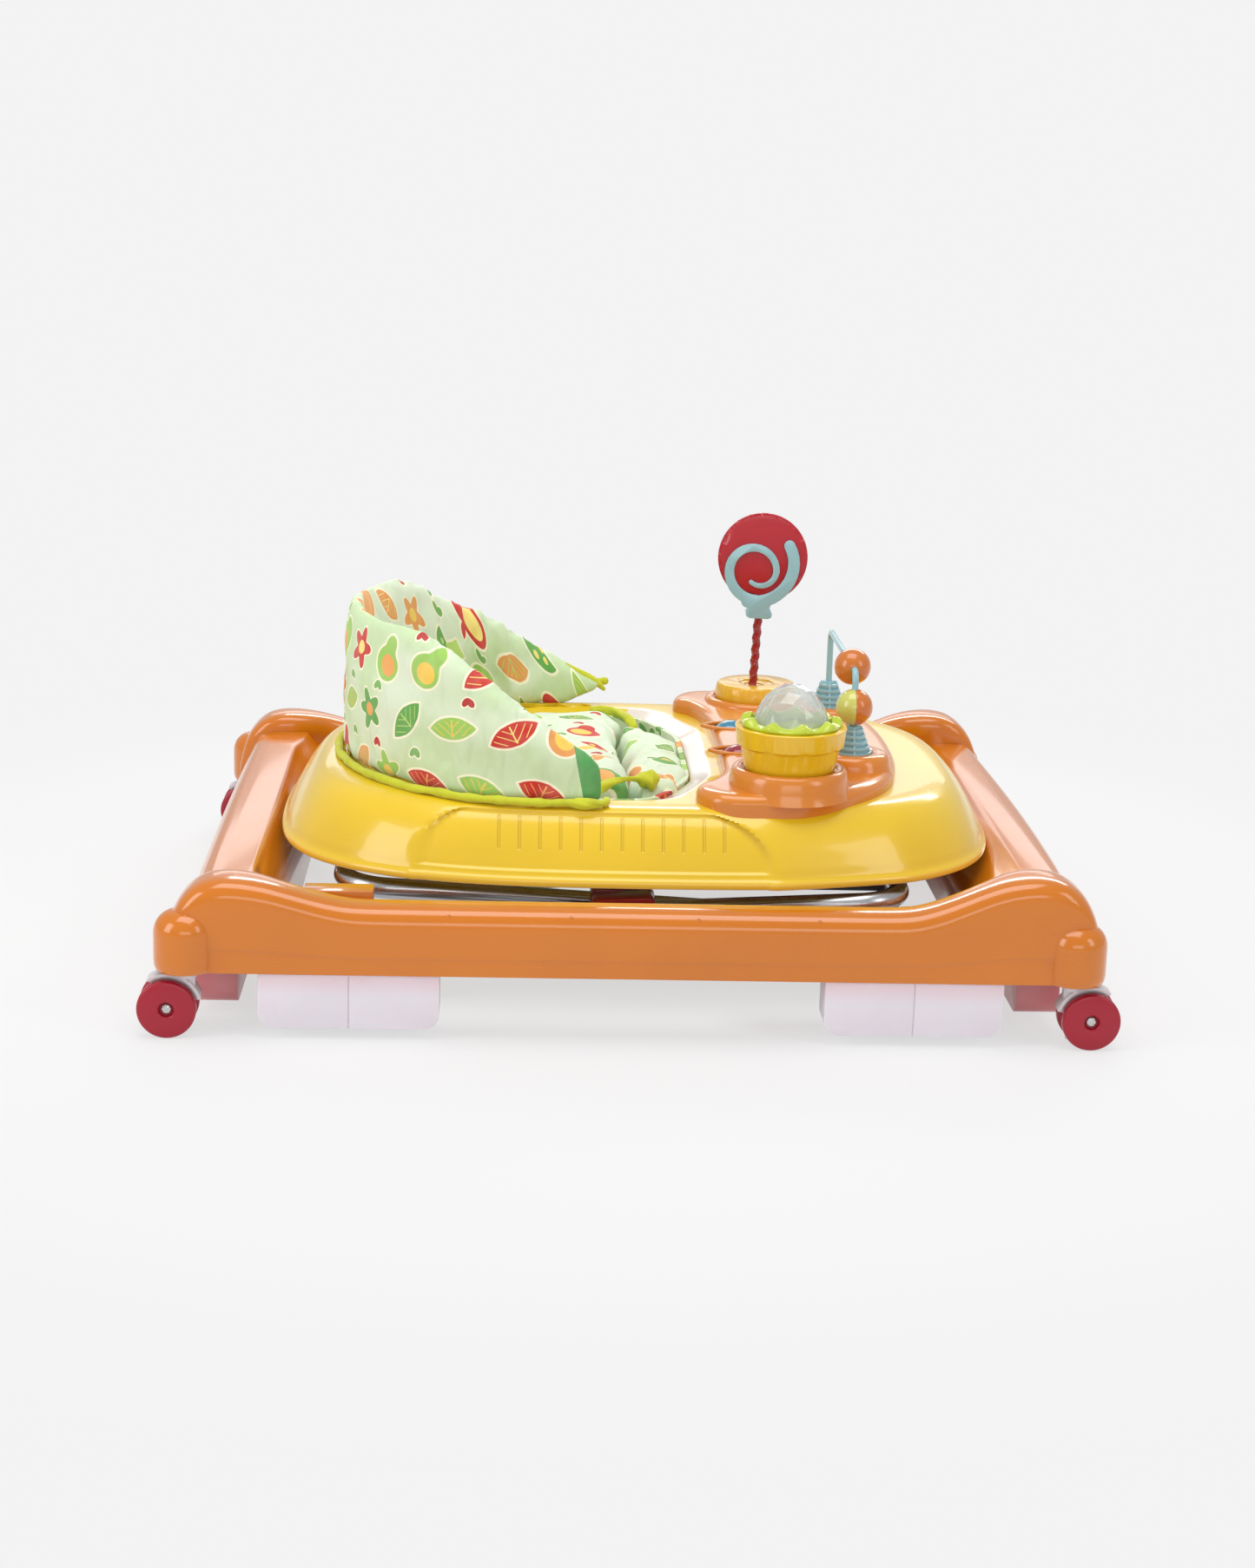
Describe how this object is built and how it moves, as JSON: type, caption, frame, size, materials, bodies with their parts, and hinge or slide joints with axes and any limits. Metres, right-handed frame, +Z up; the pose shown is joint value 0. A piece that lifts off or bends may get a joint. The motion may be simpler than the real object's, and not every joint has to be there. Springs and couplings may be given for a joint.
{
  "type": "baby walker",
  "caption": "Wheeled base ring with a folding scissor frame that raises a tray with a padded seat and a toy console.",
  "frame": {"origin": "bottom centre of the whole walker, on the floor under its middle", "axes": "+X forward to the toy side, +Y to the rider's left, +Z up; stored folded flat"},
  "size_m": [0.7, 0.616, 0.3195],
  "materials": {
    "orange_plastic": "glossy injection moulded, orange",
    "white_stop": "satin, milky white",
    "pink_stop": "satin, dusty pink",
    "frame_steel": "bright plated steel tube",
    "axle_steel": "plain steel",
    "caster_white": "glossy white",
    "wheel_red": "glossy deep red",
    "hinge_red": "satin red",
    "dark_nylon": "matt dark grey",
    "yellow_plastic": "glossy yellow",
    "console_orange": "glossy light orange",
    "ring_yellow": "glossy warm yellow",
    "pale_blue": "glossy pale blue",
    "seat_fabric": "printed padded cloth, pale mint",
    "cup_yellow": "glossy yellow",
    "lime_plastic": "glossy lime green",
    "clear_dome": "clear moulded plastic",
    "bead_blue": "glossy blue",
    "lolly_red": "glossy red",
    "button_blue": "glossy blue",
    "button_red": "glossy red",
    "ball_orange": "glossy orange"
  },
  "bodies": {
    "base": {"right_side_rail": "orange_plastic", "left_side_rail": "orange_plastic", "front_cross_rail": "orange_plastic", "rear_cross_rail": "orange_plastic", "right_front_stop": "white_stop", "right_rear_stop": "white_stop", "left_front_stop": "white_stop", "left_rear_stop": "white_stop", "front_right_stop": "pink_stop", "front_left_stop": "pink_stop", "rear_right_stop": "pink_stop", "rear_left_stop": "pink_stop", "right_pivot_bracket": "orange_plastic", "left_pivot_bracket": "orange_plastic", "right_slide_track": "orange_plastic", "left_slide_track": "orange_plastic", "base_pivot_pins": "frame_steel"},
    "front_right_swivel": {"front_right_caster": "caster_white"},
    "front_right_roll": {"front_right_wheels": "wheel_red", "front_right_axle": "axle_steel"},
    "front_left_swivel": {"front_left_caster": "caster_white"},
    "front_left_roll": {"front_left_wheels": "wheel_red", "front_left_axle": "axle_steel"},
    "rear_right_swivel": {"rear_right_caster": "caster_white"},
    "rear_right_roll": {"rear_right_wheels": "wheel_red", "rear_right_axle": "axle_steel"},
    "rear_left_swivel": {"rear_left_caster": "caster_white"},
    "rear_left_roll": {"rear_left_wheels": "wheel_red", "rear_left_axle": "axle_steel"},
    "outer_frame": {"outer_frame_tube": "frame_steel", "outer_hinge_blocks": "hinge_red", "hinge_rivets": "frame_steel"},
    "inner_frame": {"inner_frame_tube": "frame_steel", "inner_hinge_blocks": "hinge_red", "slide_rod": "frame_steel", "track_rollers": "dark_nylon"},
    "tray": {"tray_shell": "yellow_plastic", "tray_saddles": "yellow_plastic", "tray_guides": "dark_nylon", "toy_console": "console_orange", "lollipop_ring": "ring_yellow", "arch_bar": "pale_blue", "right_arch_foot": "pale_blue", "left_arch_foot": "pale_blue", "seat_backrest": "seat_fabric", "seat_bucket": "seat_fabric"},
    "cup": {"rattle_cup": "cup_yellow", "cup_icing_rim": "lime_plastic", "cup_dome": "clear_dome", "rattle_beads": "bead_blue"},
    "lollipop": {"lollipop_stem": "lolly_red", "lollipop_disc": "lolly_red", "lollipop_swirl": "pale_blue"},
    "blue_button": {"blue_button": "button_blue"},
    "red_button": {"red_button": "button_red"},
    "upper_ball": {"orange_ball": "ball_orange"},
    "lower_ball": {"green_ball_half": "lime_plastic", "orange_ball_half": "ball_orange"}
  },
  "joints": [
    {"name": "height", "type": "hinge", "parent": "base", "child": "outer_frame", "pos_m": [-0.213, 0, 0.05907], "axis": [0, -1, 0], "range_deg": [0, 40]},
    {"name": "scissor_cross", "type": "hinge", "parent": "outer_frame", "child": "inner_frame", "pos_m": [-0.0045, 0, 0.07], "axis": [0, 1, 0], "range_deg": [0, 80]},
    {"name": "tray_level", "type": "hinge", "parent": "inner_frame", "child": "tray", "pos_m": [-0.213, 0, 0.08093], "axis": [0, -1, 0], "range_deg": [0, 40]},
    {"name": "front_right_caster_turn", "type": "hinge", "parent": "base", "child": "front_right_swivel", "pos_m": [0.317, -0.286, 0.03], "axis": [0, 0, 1], "continuous": true},
    {"name": "front_right_wheel_roll", "type": "hinge", "parent": "front_right_swivel", "child": "front_right_roll", "pos_m": [0.329, -0.286, 0.021], "axis": [0, 1, 0], "continuous": true},
    {"name": "front_left_caster_turn", "type": "hinge", "parent": "base", "child": "front_left_swivel", "pos_m": [0.317, 0.286, 0.03], "axis": [0, 0, 1], "continuous": true},
    {"name": "front_left_wheel_roll", "type": "hinge", "parent": "front_left_swivel", "child": "front_left_roll", "pos_m": [0.329, 0.286, 0.021], "axis": [0, 1, 0], "continuous": true},
    {"name": "rear_right_caster_turn", "type": "hinge", "parent": "base", "child": "rear_right_swivel", "pos_m": [-0.317, -0.286, 0.03], "axis": [0, 0, 1], "continuous": true},
    {"name": "rear_right_wheel_roll", "type": "hinge", "parent": "rear_right_swivel", "child": "rear_right_roll", "pos_m": [-0.329, -0.286, 0.021], "axis": [0, 1, 0], "continuous": true},
    {"name": "rear_left_caster_turn", "type": "hinge", "parent": "base", "child": "rear_left_swivel", "pos_m": [-0.317, 0.286, 0.03], "axis": [0, 0, 1], "continuous": true},
    {"name": "rear_left_wheel_roll", "type": "hinge", "parent": "rear_left_swivel", "child": "rear_left_roll", "pos_m": [-0.329, 0.286, 0.021], "axis": [0, 1, 0], "continuous": true},
    {"name": "cup_spin", "type": "hinge", "parent": "tray", "child": "cup", "pos_m": [0.12, -0.15, 0.171], "axis": [0, 0, 1], "continuous": true},
    {"name": "lollipop_sway", "type": "hinge", "parent": "tray", "child": "lollipop", "pos_m": [0.117, 0.15, 0.1676], "axis": [1, 0, 0], "range_deg": [-12, 12], "stiffness_Nm_per_rad": 0.4},
    {"name": "blue_button_press", "type": "slide", "parent": "tray", "child": "blue_button", "axis": [0, 0, -1], "range_m": [0, 0.004], "stiffness_N_per_m": 400},
    {"name": "red_button_press", "type": "slide", "parent": "tray", "child": "red_button", "axis": [0, 0, -1], "range_m": [0, 0.004], "stiffness_N_per_m": 400},
    {"name": "upper_ball_spin", "type": "hinge", "parent": "tray", "child": "upper_ball", "pos_m": [0.175, -0.0645, 0.2311], "axis": [0, 1, 0], "continuous": true},
    {"name": "lower_ball_spin", "type": "hinge", "parent": "tray", "child": "lower_ball", "pos_m": [0.175, -0.087, 0.2036], "axis": [0, 0, 1], "continuous": true}
  ],
  "couplings": [
    {"joint": "scissor_cross", "follows": "height", "ratio": 2},
    {"joint": "tray_level", "follows": "height", "ratio": 1}
  ]
}
